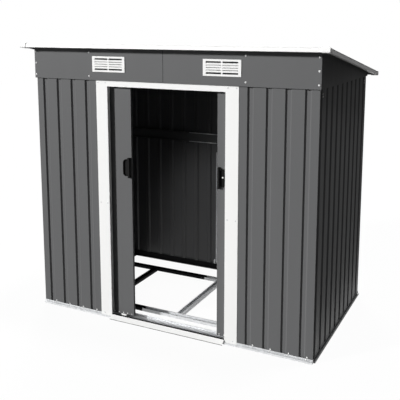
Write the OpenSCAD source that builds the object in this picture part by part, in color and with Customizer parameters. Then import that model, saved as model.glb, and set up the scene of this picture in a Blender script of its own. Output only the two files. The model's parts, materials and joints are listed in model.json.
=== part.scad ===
// Pent-roofed metal storage shed with ribbed sheet walls and two sliding doors.
// Millimetres, +Z up, the doorway faces -Y, origin on the ground under the middle of the roof.

/* [Walls] */
// Width over the wall sheets
wall_w = 1990; // [1900:10:2200]
// Depth over the wall sheets
wall_d = 1150; // [1120:10:1400]
// Height of the top edge of the wall sheets
wall_top = 1640; // [1500:10:1800]
// Thickness of folded sheet
sheet_t = 1; // [0.8:0.1:1.5]
// Distance from one groove of a ribbed sheet to the next
groove_pitch = 116; // [100:1:120]
// Width of a groove at its mouth
groove_w = 40; // [30:1:50]
// Width of each sloping side of a groove
groove_slope = 10; // [6:1:12]
// Depth of a groove
groove_depth = 10; // [6:1:12]
// Distance of a side wall's first groove from the front corner
side_groove_first = 28; // [24:1:40]
// Leg of the corner angles inside the walls
corner_leg = 25; // [15:1:28]
// Flat edge of a front sheet that a door jamb covers
jamb_cover = 17; // [10:1:25]
// Height of the mid rails' lower edge
mid_rail_z = 1050; // [800:1:1200]
// Height of the mid rails' section
mid_rail_h = 76; // [50:1:90]
// Depth of the mid rails' section
mid_rail_d = 16; // [12:1:25]
// Gap between a mid rail's ends and the corner angles
mid_rail_gap = 15; // [10:1:30]
// Distance of the side mid rails' front ends from the doors' tracks
mid_rail_front = 60; // [55:1:90]
// Width of the upright strip
strip_w = 16; // [10:1:20]
// Height of the upright strip's top
strip_top = 975; // [700:5:1000]
// Distance of the upright strip from the middle of its flat
strip_shift = 9; // [-15:1:15]

/* [Base] */
// Height of the base rails' outer lip
base_lip_h = 24; // [15:1:35]
// Height of the base rails' rim, which stands in front of the lip
base_rim_h = 13; // [8:1:20]
// Gap between the rim and the lip
base_gutter = 10; // [6:1:14]
// Height of the base rails' inner leg
base_leg_h = 45; // [30:1:60]
// Reach of the side rails' foot behind the outer face of the wall
base_foot = 72; // [66:1:85]
// Reach of the front rail's foot, which carries the doors' bottom track
front_foot = 104; // [80:1:115]
// Reach of the rear rail's foot
rear_foot = 26; // [16:1:60]
// Diameter of the anchor holes in the side rails
anchor_d = 9; // [6:0.5:12]
// Distance between anchor holes from front to rear
anchor_spacing = 900; // [600:10:1000]
// How far the door ramp reaches in front of the wall
ramp_reach = 32; // [20:1:60]
// Thickness of the ramp, measured along the ground
ramp_t = 3; // [2:0.5:4]
// Depth of the ramp's fold behind the base rail's lip
ramp_hook = 8; // [5:1:12]
// Width of the floor channels
beam_w = 46; // [40:1:60]
// Height of the floor channels
beam_h = 20; // [15:1:35]
// Width of the inward lips of the floor channels
beam_lip = 6; // [4:1:12]
// Distance of the front floor beam behind the front wall
front_beam_y = 176; // [130:1:220]
// Distance of the rear floor beam behind the front wall
rear_beam_y = 885; // [800:1:1010]
// Joint of the front floor beam's two lengths, from the middle
front_beam_joint = -288; // [-500:1:500]
// Joint of the rear floor beam's two lengths, from the middle
rear_beam_joint = -150; // [-500:1:500]
// Distance of the outer cross beams from the middle one
cross_beam_x = 582; // [400:1:700]
// Place of the middle cross beam
cross_beam_mid_x = -14; // [-60:1:60]

/* [Doorway] */
// Clear width between the door jambs
doorway_w = 842; // [780:2:860]
// Width of a door jamb's face
jamb_w = 86; // [60:1:100]
// Depth of a jamb's return into the doorway
jamb_return = 29; // [20:1:30]
// Height of the header above the doorway
header_h = 50; // [40:1:70]
// Height of the top track's underside above the header's lower edge
track_up = 10; // [5:1:15]
// Width of one sliding door
door_w = 440; // [425:1:470]
// Depth of a door's folded edge
door_t = 18; // [12:1:20]
// Gap between the jamb's return and the door
door_gap = 7; // [6:0.5:12]
// Height of the doors' lower edge
door_z = 27; // [26:1:32]
// Gap between a door's top edge and the top track
door_top_gap = 20; // [16:1:26]
// Gap between the closed doors
meet_gap = 6; // [6:1:10]
// How far the left door stands open from closed
left_door_open = 263; // [20:1:340]
// How far the right door stands open from closed
right_door_open = 350; // [20:1:350]
// Number of braces in a door
brace_count = 3; // [2:1:4]
// Height of a brace's section
brace_h = 40; // [25:1:60]
// Distance of the glides from a door's edges
glide_inset = 60; // [40:1:120]

/* [Handles] */
// Height of a handle's upright bar
handle_h = 134; // [110:1:150]
// Width of a handle's upright bar
handle_bar_w = 13; // [8:1:18]
// Reach of the handle's cup from the bar
handle_cup = 38; // [30:1:46]
// Height of the cup
handle_cup_h = 112; // [90:1:120]
// Round of the cup's corners
handle_round = 22; // [10:1:28]
// Thickness of the cup's floor
handle_floor = 4; // [3:0.5:5]
// How far the cup's rim stays below the bar
handle_step = 4; // [2:0.5:6]
// How far the handle stands out of the door
handle_out = 18; // [10:1:20]
// Wall of the cup
handle_wall = 4; // [3:0.5:5]
// Distance of the handle from the door's free edge
handle_edge = 8; // [5:1:14]
// Height of the middle of the handle
handle_z = 1057; // [900:1:1100]

/* [Fascia and gables] */
// How far the fascia and the gables lap down over the wall sheets
fascia_lap = 12; // [8:1:20]
// Height of the fascia at the front
fascia_h = 212; // [160:2:300]
// Height of the gables at the rear
gable_rear_h = 27; // [20:1:40]
// How far the fascia stands in front of the wall
fascia_out = 10; // [6:1:14]
// How far the gables stand outside the side walls
gable_out = 8; // [5:1:12]
// Folded edge of the fascia and the gables under the roof
fold_w = 20; // [12:1:26]
// Width of a vent
vent_w = 248; // [200:2:300]
// Height of a vent
vent_h = 100; // [80:2:120]
// Height of the middle of the vents above the fascia's lower edge
vent_up = 105; // [80:1:120]
// Distance of a vent's middle from the middle of the front
vent_x = 401; // [300:1:500]
// Thickness of a vent's plate
vent_t = 4; // [3:0.5:6]
// Upright edges of a vent's frame
vent_side = 19; // [10:1:25]
// Upper and lower edges of a vent's frame
vent_edge = 12; // [6:1:14]
// Bar between a vent's two columns of slots
vent_bar = 10; // [6:1:16]
// Slats in one column of a vent
vent_slats = 4; // [2:1:5]
// Height of the slots between the slats
vent_slot = 3.5; // [3:0.5:6]
// Height of the slots above and below the slats
vent_end_slot = 10; // [6:0.5:11]
// Rise of a slat from its outer to its inner edge
vent_lean = 4; // [2:0.5:5]

/* [Roof] */
// Reach of the roof in front of the fascia, along its slope
roof_front = 70; // [50:1:100]
// Reach of the roof behind the rear wall, along its slope
roof_rear = 68; // [50:1:100]
// Reach of the roof beyond the side walls
roof_side = 68; // [40:1:100]
// Height of the roof trims
trim_h = 26; // [22:1:45]
// Lips of the roof trims
trim_lip = 18; // [12:1:25]
// Depth of the long groove pressed into the trims
trim_bead = 2.5; // [2:0.5:4]
// Height of the trims' flat rim above that groove
trim_rim = 2; // [1.5:0.5:4]
// Wall of the plastic corner caps
cap_t = 3.5; // [3:0.5:5]
// Round of the caps' outer edges
cap_round = 8; // [4:0.5:9]
// Length of a corner cap along each edge
cap_leg = 44; // [30:1:60]
// Height of the beam under the roof
roof_beam_h = 40; // [25:1:50]
// Width of the beam under the roof
roof_beam_w = 30; // [20:1:40]

/* [Rails and tracks] */
// Height of the top rails' inner leg
rail_leg = 40; // [30:1:48]
// Height of the front top rail's flange behind the fascia
front_rail_up = 38; // [25:1:50]
// Width of the top track
track_w = 36; // [32:1:40]
// Height of the top track
track_h = 22; // [20:1:26]
// Slot in the top track's underside
track_slot = 12; // [11:1:16]
// Height of the bottom track's lips
sill_lip = 14; // [10:1:16]
// Length of a glide along the door
glide_len = 40; // [30:1:60]
// Thickness of a top glide's stem
stem_t = 8; // [6:1:9]
// Height of a top glide's head in the track
head_h = 8; // [6:1:12]
// Thickness of a top glide's foot on the door
base_t = 3; // [2:0.5:5]

/* [Hidden] */
$fn = 48;

// Colours
grey_paint = "#58595b";
white_paint = "#f2f2f0";
zinc = "#b9bcbe";
dark_zinc = "#2b2c2e";
black_plastic = "#151515";
pale_plastic = "#e6e6e2";

// Clearances: between moving pieces, at runners, and where fixed pieces stop short of each other
jamb_clear = 5;
run_clear = 0.3;
head_clear = 3;
sill_gap = 0.5;
sill_back = 2;
sill_floor_gap = 6;
post_foot_gap = 1;
post_head_gap = 12;
fold_gap = 6;
groove_margin = 4;
// Overshoot of shapes that cut
over = 1;

// Depth of a ribbed sheet from its outer to its inner face
rib_d = groove_depth + sheet_t;
half_w = wall_w / 2;

// Heights
fascia_z = wall_top - fascia_lap;
fascia_top = fascia_z + fascia_h;
header_z = wall_top - header_h;
roof_fall = atan((fascia_h - gable_rear_h) / (fascia_out + wall_d + gable_out));

// Roof frame: its y runs down the slope from the fascia's face, its z is square to the sheets' underside
trim_top = rib_d + sheet_t;
trim_bottom = trim_top - trim_h;
roof_run = (fascia_out + wall_d) / cos(roof_fall) + roof_rear;
roof_half = half_w + roof_side;
// Place of the fascia's face that centres the roof over the origin, to a tenth of a millimetre
roof_mid_y = ((roof_run - roof_front) * cos(roof_fall) + (trim_top + trim_bottom) * sin(roof_fall)) / 2;
fascia_y = -round(10 * roof_mid_y) / 10;
front_y = fascia_y + fascia_out;
rear_y = front_y + wall_d;
// Height of the roof sheets' underside at a distance behind the fascia's face
function roof_under(y) = fascia_top - (y - fascia_y) * tan(roof_fall);

// Doorway
jamb_in = doorway_w / 2;
jamb_out = jamb_in + jamb_w;
jamb_face = 2 * sheet_t;
door_y = front_y - jamb_face + jamb_return + door_gap;
track_z = header_z + track_up;
door_top = track_z - door_top_gap;
door_h = door_top - door_z;
door_mid_y = door_y + door_t / 2;
return_y = front_y - jamb_face + jamb_return;
// Half length of the tracks, which end where the open doors end
track_half = jamb_in + door_w;

// Face of the rails inside the ribbed sheets, and the tracks
rail_in = rib_d + sheet_t;
track_y = door_mid_y - track_w / 2;
sill_y = return_y + sill_gap;
sill_w = front_y + front_foot - sill_y - sill_back;
// Reach of the bottom glides in front of and behind a door's middle, with one gap to both of the track's lips
glide_front = door_mid_y - return_y - jamb_clear;
glide_rear = sill_w - 2 * (door_mid_y - sill_y) + glide_front;

// Points of a ribbed sheet from u0 to u1 with groove middles at the values in grooves;
// v is 0 on the outer face and grows inwards
function rib_line(u0, u1, grooves, v) = concat([[u0, v]],
    [for (c = grooves, p = [[-groove_w / 2, 0], [-groove_w / 2 + groove_slope, groove_depth],
        [groove_w / 2 - groove_slope, groove_depth], [groove_w / 2, 0]]) [c + p[0], v + p[1]]],
    [[u1, v]]);
function reversed(list) = [for (i = [len(list) - 1:-1:0]) list[i]];
function rib_points(u0, u1, grooves) =
    concat(rib_line(u0, u1, grooves, 0), reversed(rib_line(u0, u1, grooves, sheet_t)));
// Groove middles at whole pitches from a start, kept clear of the sheet's edges
groove_room = groove_w / 2 + groove_margin;
function grooves_between(u0, u1, start) = [for (k = [ceil((u0 - start + groove_room) / groove_pitch)
    : floor((u1 - start - groove_room) / groove_pitch)]) start + k * groove_pitch];

module rib_sheet(u0, u1, start, h) {
    linear_extrude(height = h) polygon(rib_points(u0, u1, grooves_between(u0, u1, start)));
}

// A box from one corner to the opposite one
module block(low, high) {
    translate(low) cube(high - low);
}

// A section drawn in the y-z plane, carried along x from x0 to x1
module along_x(x0, x1) {
    translate([x0, 0, 0]) rotate([90, 0, 90]) linear_extrude(height = x1 - x0) children();
}

// A section drawn in the x-z plane, carried along y from y0 to y1
module along_y(y0, y1) {
    translate([0, y1, 0]) rotate([90, 0, 0]) linear_extrude(height = y1 - y0) children();
}

// A rectangle from one corner to the opposite one
module plate(low, high) {
    translate(low) square(high - low);
}

// The roof's own frame
module on_roof() {
    translate([0, fascia_y, fascia_top]) rotate([-roof_fall, 0, 0]) children();
}

module both_sides() {
    children();
    mirror([1, 0, 0]) children();
}

// Base rails

// Sections of a base rail, with the wall's outer face at 0 and the inside at positive values
rim_out = base_gutter + 2 * sheet_t;

module rim_section() {
    plate([-rim_out, 0], [sheet_t - rim_out, base_rim_h]);
}

module base_section(foot) {
    plate([-rim_out, 0], [foot, sheet_t]);
    plate([-sheet_t, 0], [0, base_lip_h]);
}

module leg_section() {
    plate([rib_d, 0], [rail_in, base_leg_h]);
}

// Rail along the front or the rear wall, with its lip turned round both corners
module end_rail(foot) {
    reach = half_w + sheet_t;
    translate([0, front_y, 0]) {
        difference() {
            along_x(-reach, reach) base_section(foot);
            both_sides() block([half_w - base_foot, rail_in, -over],
                [reach + over, foot + over, sheet_t + over]);
        }
        both_sides() block([half_w, -sheet_t, 0], [reach, rail_in, base_lip_h]);
    }
}

// The front rail's rim and leg leave the doorway free
module front_base_rail() {
    color(zinc) {
        end_rail(front_foot);
        translate([0, front_y, 0]) both_sides() {
            along_x(jamb_in, half_w + sheet_t) rim_section();
            along_x(jamb_in + sheet_t, half_w - rail_in) leg_section();
        }
    }
}

module rear_base_rail() {
    color(grey_paint) translate([0, front_y + rear_y, 0]) mirror([0, 1, 0]) {
        end_rail(rear_foot);
        translate([0, front_y, 0]) {
            along_x(-half_w - sheet_t, half_w + sheet_t) rim_section();
            along_x(rail_in - half_w, half_w - rail_in) leg_section();
        }
    }
}

anchor_x = half_w - (rail_in + base_foot) / 2;

module side_base_rail() {
    difference() {
        along_y(front_y + rail_in, rear_y - rail_in) translate([half_w, 0]) mirror([1, 0]) {
            base_section(base_foot);
            rim_section();
            leg_section();
        }
        for (s = [-1, 1]) translate([anchor_x, s * anchor_spacing / 2, -over])
            cylinder(d = anchor_d, h = sheet_t + 2 * over);
    }
}

module side_base_rails() {
    color(grey_paint) both_sides() side_base_rail();
}

// Sloping threshold plate with a flat top that laps over the base rail's lip
module door_ramp() {
    top = base_lip_h + sheet_t;
    color(white_paint) translate([0, front_y, 0]) along_x(-jamb_in, jamb_in) polygon([
        [-ramp_reach, 0], [-ramp_reach + ramp_t, 0], [-ramp_t, base_lip_h], [rib_d, base_lip_h],
        [rib_d, base_lip_h - ramp_hook], [rail_in, base_lip_h - ramp_hook], [rail_in, top],
        [-ramp_t - sheet_t, top]]);
}

// Bottom track: a shallow channel on the base rail's foot
module door_bottom_track() {
    color(zinc) translate([0, sill_y, sheet_t]) along_x(-track_half, track_half) {
        plate([0, 0], [sill_w, sheet_t]);
        plate([0, 0], [sheet_t, sill_lip]);
        plate([sill_w - sheet_t, 0], [sill_w, sill_lip]);
    }
}

// Floor frame

// Section of a floor channel, open upwards, with inward lips
module beam_section() {
    difference() {
        plate([0, 0], [beam_w, beam_h]);
        plate([sheet_t, sheet_t], [beam_w - sheet_t, beam_h - sheet_t]);
        plate([beam_lip, sheet_t], [beam_w - beam_lip, beam_h + over]);
    }
}

module long_beam(y, x0, x1) {
    translate([0, front_y + y, sheet_t]) along_x(x0, x1) beam_section();
}

beam_end = half_w - rail_in;

module floor_beams_left() {
    color(dark_zinc) {
        long_beam(front_beam_y, -beam_end, front_beam_joint);
        long_beam(rear_beam_y, -beam_end, rear_beam_joint);
    }
}

module floor_beams_right() {
    color(zinc) {
        long_beam(front_beam_y, front_beam_joint, beam_end);
        long_beam(rear_beam_y, rear_beam_joint, beam_end);
    }
}

module floor_cross_beams() {
    color(zinc) for (x = [-cross_beam_x, 0, cross_beam_x])
        translate([cross_beam_mid_x + x - beam_w / 2, 0, sheet_t])
            along_y(front_y + front_beam_y + beam_w, front_y + rear_beam_y) beam_section();
}

// Walls

wall_z = sheet_t;
wall_h = wall_top - wall_z;
panel_edge = jamb_out - jamb_cover;

module front_wall_right() {
    color(grey_paint) translate([0, front_y, wall_z]) rib_sheet(panel_edge, half_w, 0, wall_h);
}

module front_wall_left() {
    color(grey_paint) translate([0, front_y, wall_z]) rib_sheet(-half_w, -panel_edge, 0, wall_h);
}

module side_wall() {
    color(grey_paint) translate([half_w, front_y, wall_z]) rotate(90)
        rib_sheet(sheet_t, wall_d - sheet_t, side_groove_first, wall_h);
}

module right_wall() {
    side_wall();
}

module left_wall() {
    mirror([1, 0, 0]) side_wall();
}

// The rear wall's two sheets meet in the middle of a flat
module rear_sheet(u0, u1) {
    color(grey_paint) translate([0, rear_y, wall_z]) rotate(180) rib_sheet(u0, u1, 0, wall_h);
}

module rear_wall_left() {
    rear_sheet(-groove_pitch / 2, half_w);
}

module rear_wall_right() {
    rear_sheet(-half_w, -groove_pitch / 2);
}

post_z = base_leg_h + post_foot_gap;
post_top = wall_top - rail_leg - post_head_gap;

// Angle in a corner; its side leg lies off by the depth of what it touches
module corner_angle(off) {
    linear_extrude(height = post_top - post_z) {
        plate([-off - corner_leg, sheet_t], [-off, 2 * sheet_t]);
        plate([-off - sheet_t, sheet_t], [-off, sheet_t + corner_leg]);
    }
}

module corner_posts() {
    color(zinc) both_sides() {
        translate([half_w, front_y, post_z]) corner_angle(rib_d);
        translate([half_w, rear_y, post_z]) mirror([0, 1, 0]) corner_angle(sheet_t);
    }
}

// Section of a mid rail: a channel with its back on the sheets' inner ribs
module mid_section() {
    difference() {
        plate([0, 0], [mid_rail_d, mid_rail_h]);
        plate([sheet_t, sheet_t], [mid_rail_d + over, mid_rail_h - sheet_t]);
    }
}

module mid_rails() {
    side_gap = corner_leg + mid_rail_gap;
    color(dark_zinc) {
        translate([0, rear_y - rib_d, mid_rail_z]) mirror([0, 1, 0])
            along_x(-half_w + side_gap, half_w - side_gap) mid_section();
        both_sides() translate([half_w - rib_d, 0, mid_rail_z])
            along_y(front_y + side_gap + mid_rail_front, rear_y - side_gap) mirror([1, 0]) mid_section();
    }
}

// Upright strip on a flat of the rear wall
strip_x = -1.5 * groove_pitch + strip_shift;

module rear_wall_strip() {
    color(zinc) block([strip_x - strip_w / 2, rear_y - 2 * sheet_t, wall_z],
        [strip_x + strip_w / 2, rear_y - sheet_t, strip_top]);
}

// Doorway

module jamb() {
    color(white_paint) {
        block([jamb_in, front_y - jamb_face, sheet_t], [jamb_out, front_y - sheet_t, wall_top]);
        block([jamb_in, front_y - jamb_face, base_lip_h], [jamb_in + sheet_t, return_y, header_z]);
        block([jamb_out - sheet_t, front_y - jamb_face, base_lip_h], [jamb_out, front_y, wall_top]);
    }
}

module right_door_jamb() {
    jamb();
}

module left_door_jamb() {
    mirror([1, 0, 0]) jamb();
}

module door_header() {
    color(white_paint) translate([0, front_y, 0]) along_x(-jamb_in, jamb_in) {
        plate([-jamb_face, header_z], [-sheet_t, wall_top]);
        plate([-jamb_face, header_z], [rib_d, header_z + sheet_t]);
    }
}

// Top track: a channel with a slot underneath, hung from the front rail's leg
module door_top_track() {
    lip = (track_w - track_slot) / 2;
    hang = front_y + rail_in - track_y;
    color(zinc) translate([0, track_y, track_z]) along_x(-track_half, track_half) {
        plate([0, 0], [lip, sheet_t]);
        plate([track_w - lip, 0], [track_w, sheet_t]);
        plate([0, 0], [sheet_t, track_h]);
        plate([track_w - sheet_t, 0], [track_w, track_h]);
        plate([hang, track_h - sheet_t], [track_w, track_h]);
        plate([hang, sheet_t], [hang + sheet_t, track_h]);
    }
}

// Top rails

module front_top_rail() {
    reach = half_w + gable_out - sheet_t;
    color(grey_paint) translate([0, front_y, 0]) {
        along_x(rail_in - half_w, half_w - rail_in) plate([rib_d, header_z], [rail_in, wall_top + sheet_t]);
        along_x(-reach, reach) {
            plate([-fascia_out + sheet_t, wall_top], [rail_in, wall_top + sheet_t]);
            plate([-fascia_out + sheet_t, fascia_z], [-fascia_out + 2 * sheet_t, fascia_z + front_rail_up]);
        }
    }
}

// Rear rail: its outer flange closes the gap up to the roof and folds in under it
module rear_top_rail() {
    top = roof_under(rear_y + gable_out);
    fold_end = (fascia_out + wall_d + gable_out) / cos(roof_fall);
    reach = half_w + gable_out - sheet_t;
    color(grey_paint) {
        translate([0, rear_y, 0]) along_x(rail_in - half_w, half_w - rail_in)
            plate([-rail_in, wall_top - rail_leg], [-rib_d, wall_top + sheet_t]);
        translate([0, rear_y, 0]) along_x(-reach, reach) {
            plate([-rail_in, wall_top], [gable_out, wall_top + sheet_t]);
            plate([gable_out - sheet_t, fascia_z], [gable_out, top]);
        }
        on_roof() block([-reach, fold_end - fold_w, -sheet_t], [reach, fold_end - sheet_t / 4, 0]);
    }
}

module side_top_rails() {
    color(zinc) both_sides() along_y(front_y + rail_in, rear_y - rail_in) translate([half_w, 0]) {
        plate([-rail_in, wall_top - rail_leg], [-rib_d, wall_top + sheet_t]);
        plate([-rail_in, wall_top], [gable_out - sheet_t, wall_top + sheet_t]);
        plate([gable_out - 2 * sheet_t, fascia_z], [gable_out - sheet_t, wall_top + sheet_t]);
    }
}

// Fascia and gables

vent_z = fascia_z + vent_up;
slot_w = (vent_w - 2 * vent_side - vent_bar) / 2;
vent_open_h = vent_h - 2 * vent_edge;

// Two windows of a vent, left and right of its bar, from y0 to y1
module vent_windows(y0, y1) {
    for (x = [-vent_bar / 2 - slot_w, vent_bar / 2]) translate([vent_x + x, 0, vent_z])
        block([0, y0, -vent_open_h / 2], [slot_w, y1, vent_open_h / 2]);
}

module fascia() {
    reach = half_w + gable_out;
    color(grey_paint) difference() {
        union() {
            block([0, fascia_y, fascia_z], [reach, fascia_y + sheet_t, roof_under(fascia_y + sheet_t)]);
            on_roof() block([0, sheet_t * tan(roof_fall), -sheet_t], [reach - sheet_t, fold_w, 0]);
        }
        vent_windows(fascia_y - over, fascia_y + sheet_t + over);
    }
}

module right_fascia() {
    fascia();
}

module left_fascia() {
    mirror([1, 0, 0]) fascia();
}

// Louvre vent: a frame with two windows, and slats that rise inwards across both
slat_h = (vent_open_h - 2 * vent_end_slot - (vent_slats - 1) * vent_slot) / vent_slats;

module vent() {
    color(white_paint) {
        difference() {
            translate([vent_x, fascia_y, vent_z])
                block([-vent_w / 2, -vent_t, -vent_h / 2], [vent_w / 2, 0, vent_h / 2]);
            vent_windows(fascia_y - vent_t - over, fascia_y + over);
        }
        translate([vent_x, fascia_y, vent_z - vent_open_h / 2 + vent_end_slot])
            for (k = [0:vent_slats - 1]) translate([0, 0, k * (slat_h + vent_slot)])
                along_x(-slot_w - vent_bar / 2, slot_w + vent_bar / 2) polygon([[-vent_t, 0],
                    [-vent_t, slat_h - vent_lean], [0, slat_h], [0, vent_lean]]);
    }
}

module right_vent() {
    vent();
}

module left_vent() {
    mirror([1, 0, 0]) vent();
}

module gable() {
    y0 = fascia_y + sheet_t;
    y1 = rear_y + gable_out;
    fold_start = fold_w + fold_gap;
    fold_end = (y1 - fascia_y) / cos(roof_fall) - fold_w - fold_gap;
    inner = half_w + gable_out - sheet_t;
    color(grey_paint) {
        translate([inner, 0, 0]) rotate([90, 0, 90]) linear_extrude(height = sheet_t)
            polygon([[y0, fascia_z], [y1, fascia_z], [y1, roof_under(y1)], [y0, roof_under(y0)]]);
        on_roof() block([inner - fold_w, fold_start, -sheet_t], [inner + sheet_t / 2, fold_end, 0]);
    }
}

module right_gable() {
    gable();
}

module left_gable() {
    mirror([1, 0, 0]) gable();
}

// Roof

// Distance of the roof sheets' edges from the trims' faces, behind the pressed groove
trim_in = 2 * sheet_t + trim_bead;
roof_in = roof_half - trim_in;
// The roof sheets meet in the middle of a flat
seam_x = 2.5 * groove_pitch;

module roof_sheet(x0, x1) {
    color(grey_paint) on_roof() translate([0, -roof_front + trim_in, rib_d]) rotate([-90, 0, 0])
        rib_sheet(x0, x1, 0, roof_front + roof_run - 2 * trim_in);
}

module roof_panel_left() {
    roof_sheet(-roof_in, -seam_x);
}

module roof_panel_middle() {
    roof_sheet(-seam_x, seam_x);
}

module roof_panel_right() {
    roof_sheet(seam_x, roof_in);
}

// Channel across the shed under the roof sheets, held between the gables
module roof_beam() {
    reach = half_w + gable_out - sheet_t - fold_w;
    mid = (fascia_out + wall_d / 2) / cos(roof_fall);
    color(zinc) on_roof() along_x(-reach, reach) translate([mid - roof_beam_w / 2, -roof_beam_h])
        difference() {
            plate([0, 0], [roof_beam_w, roof_beam_h]);
            plate([sheet_t, -over], [roof_beam_w - sheet_t, roof_beam_h - sheet_t]);
        }
}

// Section of a trim: the roof's edge at 0, the roof at positive values; its face has a long pressed groove
module trim_section() {
    groove_high = trim_top - trim_rim - trim_bead;
    groove_low = groove_high - sheet_t;
    polygon([[0, trim_bottom], [trim_lip, trim_bottom], [trim_lip, trim_bottom + sheet_t],
        [sheet_t, trim_bottom + sheet_t], [sheet_t, groove_low - trim_bead],
        [sheet_t + trim_bead, groove_low], [sheet_t + trim_bead, groove_high],
        [sheet_t, groove_high + trim_bead], [sheet_t, trim_top - sheet_t], [trim_lip, trim_top - sheet_t],
        [trim_lip, trim_top], [0, trim_top], [0, groove_high + trim_bead],
        [trim_bead, groove_high], [trim_bead, groove_low], [0, groove_low - trim_bead]]);
}

module roof_trim_front() {
    color(white_paint) on_roof() translate([0, -roof_front, 0])
        along_x(-roof_half, roof_half) trim_section();
}

module roof_trim_rear() {
    color(white_paint) on_roof() translate([0, roof_run, 0]) mirror([0, 1, 0])
        along_x(-roof_half, roof_half) trim_section();
}

module side_trim() {
    color(white_paint) on_roof() along_y(-roof_front + trim_lip, roof_run - trim_lip)
        translate([roof_half, 0]) mirror([1, 0]) trim_section();
}

module roof_trim_right() {
    side_trim();
}

module roof_trim_left() {
    mirror([1, 0, 0]) side_trim();
}

// A rectangle whose two corners on the low side of its first axis are rounded
module half_round_plate(low, high, r) {
    plate([low[0], low[1] + r], [high[0], high[1] - r]);
    plate([low[0] + r, low[1]], high);
    for (v = [low[1] + r, high[1] - r]) translate([low[0] + r, v]) circle(r = r);
}

// Plastic cap over a roof corner: a rounded shell round the two trims
module corner_cap() {
    low = trim_bottom - cap_t;
    high = trim_top + cap_t;
    difference() {
        intersection() {
            along_x(-cap_t, cap_leg) half_round_plate([-cap_t, low], [cap_leg, high], cap_round);
            along_y(-cap_t, cap_leg) half_round_plate([-cap_t, low], [cap_leg, high], cap_round);
        }
        block([0, 0, trim_bottom], [cap_leg + over, cap_leg + over, trim_top]);
        block([trim_lip, trim_lip, low - over], [cap_leg + over, cap_leg + over, high + over]);
    }
}

module roof_corner_caps() {
    color(white_paint) on_roof() both_sides() {
        translate([-roof_half, -roof_front, 0]) corner_cap();
        translate([-roof_half, roof_run, 0]) mirror([0, 1, 0]) corner_cap();
    }
}

// Sliding doors, drawn as the right door when closed: the free edge is at meet_gap / 2

module on_right_door() {
    translate([meet_gap / 2 + right_door_open, 0, 0]) children();
}

module on_left_door() {
    mirror([1, 0, 0]) translate([meet_gap / 2 + left_door_open, 0, 0]) children();
}

module door_pan() {
    color(grey_paint) translate([0, door_y, door_z]) difference() {
        cube([door_w, door_t, door_h]);
        translate([sheet_t, sheet_t, sheet_t]) cube([door_w - 2 * sheet_t, door_t, door_h - 2 * sheet_t]);
    }
}

module door_braces() {
    deep = door_t - sheet_t;
    color(zinc) for (k = [1:brace_count])
        translate([0, door_y + sheet_t, door_z + k * door_h / (brace_count + 1) - brace_h / 2])
            along_x(sheet_t, door_w - sheet_t) difference() {
                plate([0, 0], [deep, brace_h]);
                plate([sheet_t, sheet_t], [deep + over, brace_h - sheet_t]);
            }
}

// Outline of the cup with two rounded corners, its straight side on the bar
module cup_outline(inset) {
    half_h = handle_cup_h / 2 - inset;
    mirror([1, 0]) half_round_plate([inset - handle_cup, -half_h], [0, half_h], handle_round - inset);
}

// Handle: a bar that stands out, and a cup beside it for the fingers
module door_handle() {
    color(black_plastic) translate([handle_edge, door_y, handle_z]) rotate([90, 0, 0]) {
        linear_extrude(height = handle_out) plate([0, -handle_h / 2], [handle_bar_w, handle_h / 2]);
        translate([handle_bar_w, 0, 0]) {
            linear_extrude(height = handle_floor) cup_outline(0);
            linear_extrude(height = handle_out - handle_step) difference() {
                cup_outline(0);
                cup_outline(handle_wall);
            }
        }
    }
}

// Top glides hang in the track's slot; bottom glides run in the bottom track
module door_glides() {
    head_z = track_z + sheet_t + run_clear;
    head_half = track_w / 2 - head_clear;
    color(pale_plastic) for (x = [glide_inset, door_w - glide_inset - glide_len])
        translate([x, door_mid_y, 0]) {
            block([0, -door_t / 2, door_top], [glide_len, door_t / 2, door_top + base_t]);
            block([0, -stem_t / 2, door_top], [glide_len, stem_t / 2, head_z + head_h]);
            block([0, -head_half, head_z], [glide_len, head_half, head_z + head_h]);
            block([0, -glide_front, 2 * sheet_t + sill_floor_gap], [glide_len, glide_rear, door_z]);
        }
}

module right_door() {
    on_right_door() door_pan();
}

module right_door_braces() {
    on_right_door() door_braces();
}

module right_door_handle() {
    on_right_door() door_handle();
}

module right_door_glides() {
    on_right_door() door_glides();
}

module left_door() {
    on_left_door() door_pan();
}

module left_door_braces() {
    on_left_door() door_braces();
}

module left_door_handle() {
    on_left_door() door_handle();
}

module left_door_glides() {
    on_left_door() door_glides();
}

front_base_rail();
rear_base_rail();
side_base_rails();
door_ramp();
door_bottom_track();
floor_beams_left();
floor_beams_right();
floor_cross_beams();
front_wall_left();
front_wall_right();
left_wall();
right_wall();
rear_wall_left();
rear_wall_right();
corner_posts();
mid_rails();
rear_wall_strip();
left_door_jamb();
right_door_jamb();
door_header();
door_top_track();
front_top_rail();
rear_top_rail();
side_top_rails();
left_fascia();
right_fascia();
left_vent();
right_vent();
left_gable();
right_gable();
roof_panel_left();
roof_panel_middle();
roof_panel_right();
roof_beam();
roof_trim_front();
roof_trim_rear();
roof_trim_left();
roof_trim_right();
roof_corner_caps();
left_door();
left_door_braces();
left_door_handle();
left_door_glides();
right_door();
right_door_braces();
right_door_handle();
right_door_glides();
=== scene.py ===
"""Looks of a pent-roofed metal storage shed: finishes, screws, hems, light and camera, in metres."""

import json
import math

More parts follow.
